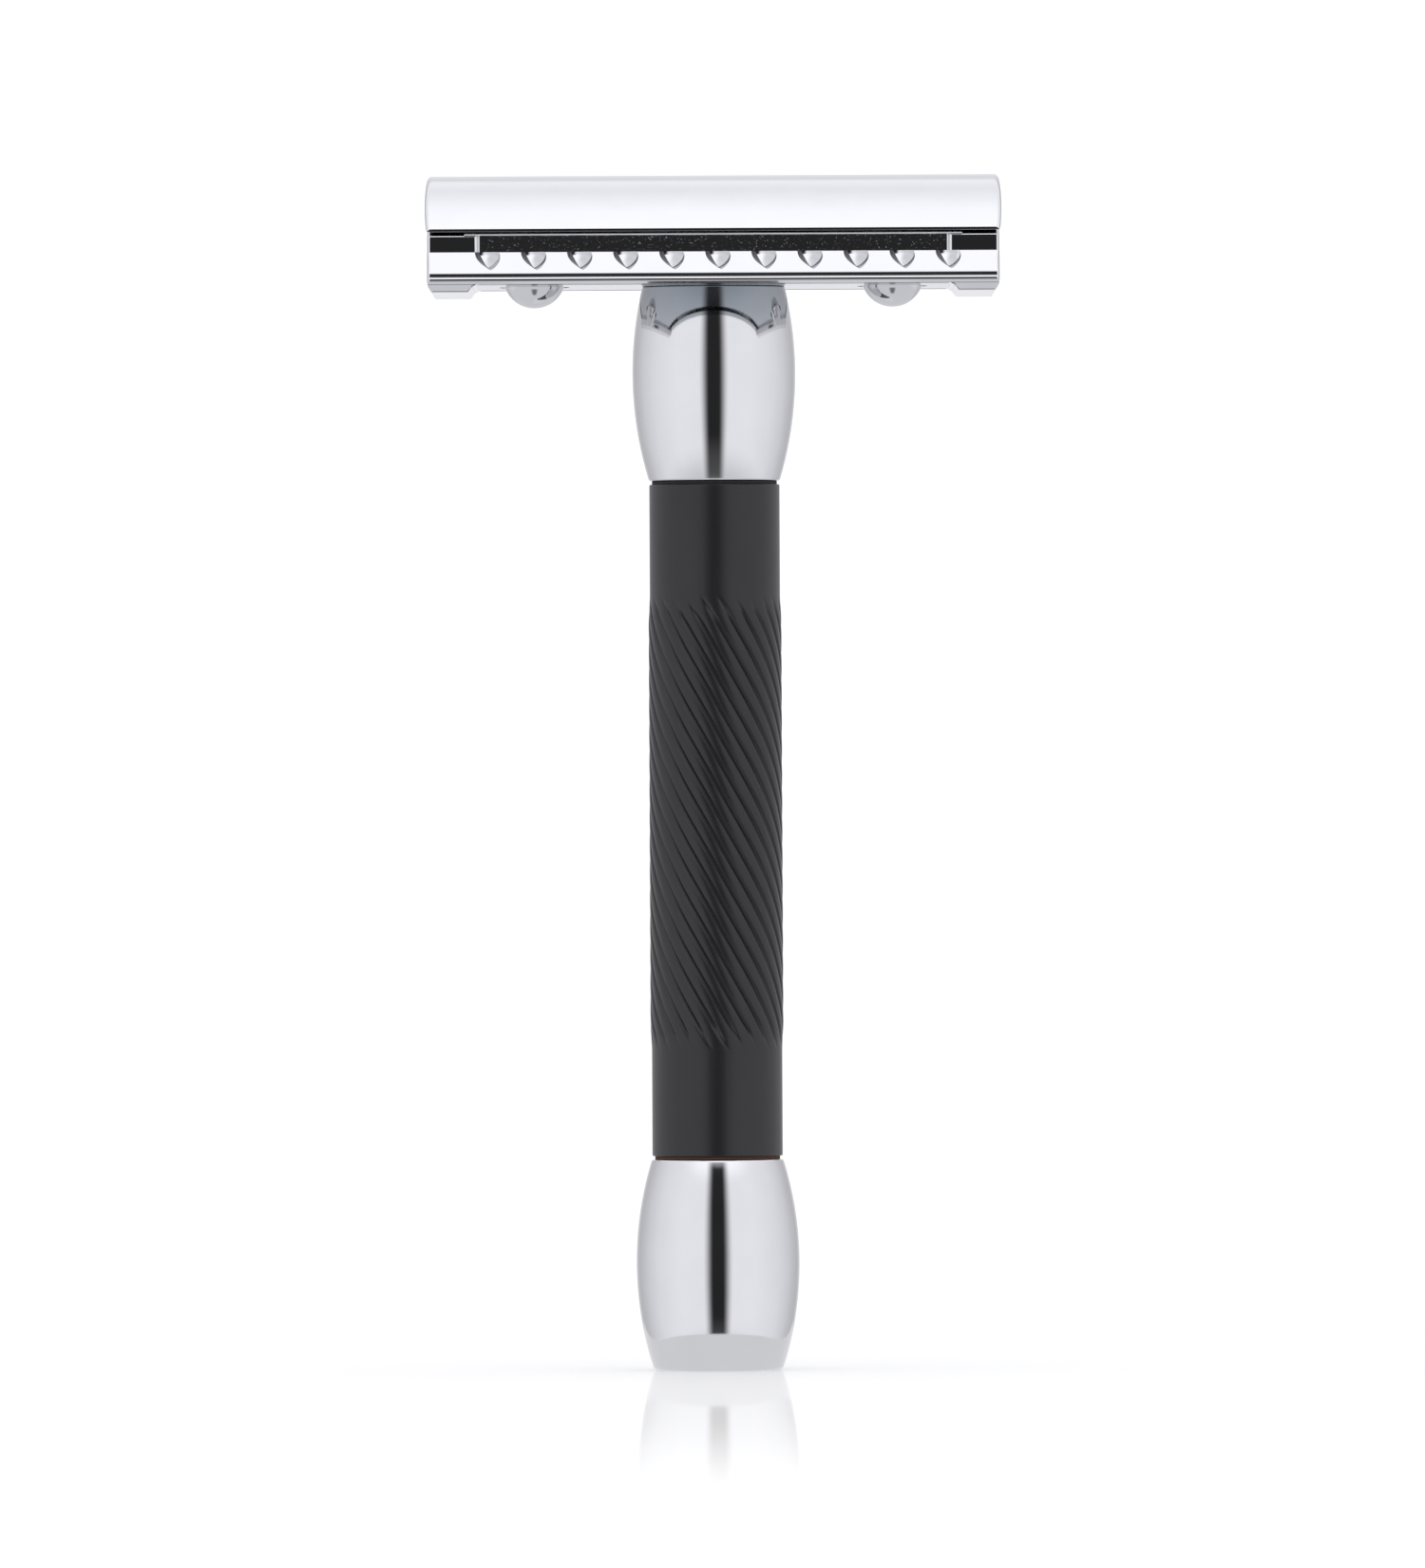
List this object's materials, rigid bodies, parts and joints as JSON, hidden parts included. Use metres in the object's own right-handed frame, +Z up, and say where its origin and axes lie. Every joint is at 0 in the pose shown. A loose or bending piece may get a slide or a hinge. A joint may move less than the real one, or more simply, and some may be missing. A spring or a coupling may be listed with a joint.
{
  "type": "safety razor",
  "caption": "Double-edge safety razor with a domed cap, scalloped guard bars, bulged polished barrels and a dark spiral-fluted grip.",
  "frame": {"origin": "centre of the handle's flat foot, on the surface that the razor stands on", "axes": "+Z up the handle to the cap, X along the blade and the guard bars, -Y is the front"},
  "size_m": [0.0432, 0.025, 0.0898],
  "materials": {
    "chrome": "bright polished chrome plate",
    "black_grip": "satin black anodised",
    "rod_steel": "plain machined steel",
    "brass": "plain turned brass",
    "blade_steel": "bright stainless strip with ground edges",
    "fibre": "matt red-brown fibre"
  },
  "bodies": {
    "handle": {"lower_barrel": "chrome", "lower_washer": "fibre", "grip_sleeve": "black_grip", "upper_washer": "fibre", "upper_barrel": "chrome", "tie_rod": "rod_steel", "threaded_insert": "brass"},
    "guard": {"base_plate": "chrome"},
    "blade": {"blade": "blade_steel"},
    "cap": {"cap_shell": "chrome", "threaded_stud": "brass", "left_post": "chrome", "right_post": "chrome"}
  },
  "joints": [
    {"name": "head_turn", "type": "hinge", "parent": "handle", "child": "guard", "pos_m": [0, 0, 0.0814], "axis": [0, 0, 1], "range_deg": [0, 3600]},
    {"name": "blade_rise", "type": "slide", "parent": "guard", "child": "blade", "axis": [0, 0, 1], "range_m": [0, 0.0041]},
    {"name": "cap_rise", "type": "slide", "parent": "guard", "child": "cap", "axis": [0, 0, 1], "range_m": [0, 0.0081]}
  ],
  "couplings": [
    {"joint": "cap_rise", "follows": "head_turn", "m_per_rad": 0.00012732},
    {"joint": "blade_rise", "follows": "head_turn", "m_per_rad": 0.000063662}
  ]
}
